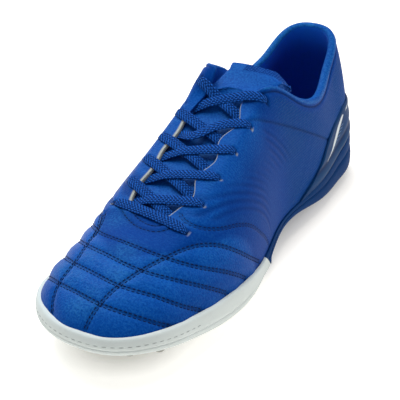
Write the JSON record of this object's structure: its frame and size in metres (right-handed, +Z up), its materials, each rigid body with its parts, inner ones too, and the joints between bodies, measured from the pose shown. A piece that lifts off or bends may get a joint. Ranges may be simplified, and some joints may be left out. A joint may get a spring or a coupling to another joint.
{
  "type": "turf shoe",
  "caption": "Low left turf shoe with a hollow padded upper, laced throat, tongue, insole and a studded two-piece rubber sole for artificial grass.",
  "frame": {"origin": "on the floor under the middle of the bounding box", "axes": "+Z up, toe towards -Y, outer side of the left foot towards +X"},
  "size_m": [0.0988, 0.2786, 0.1036],
  "materials": {
    "blue_leather": "smooth synthetic leather, quilted at the toe",
    "white_rubber": "satin moulded rubber",
    "blue_rubber": "satin moulded rubber",
    "navy_foam": "textile over foam",
    "blue_textile": "flat woven lace"
  },
  "bodies": {
    "root": {"upper": "blue_leather", "tongue": "blue_leather", "sole_forefoot": "white_rubber", "sole_rear": "blue_rubber", "heel_counter": "blue_rubber", "insole": "navy_foam", "lace": "blue_textile"}
  },
  "joints": []
}
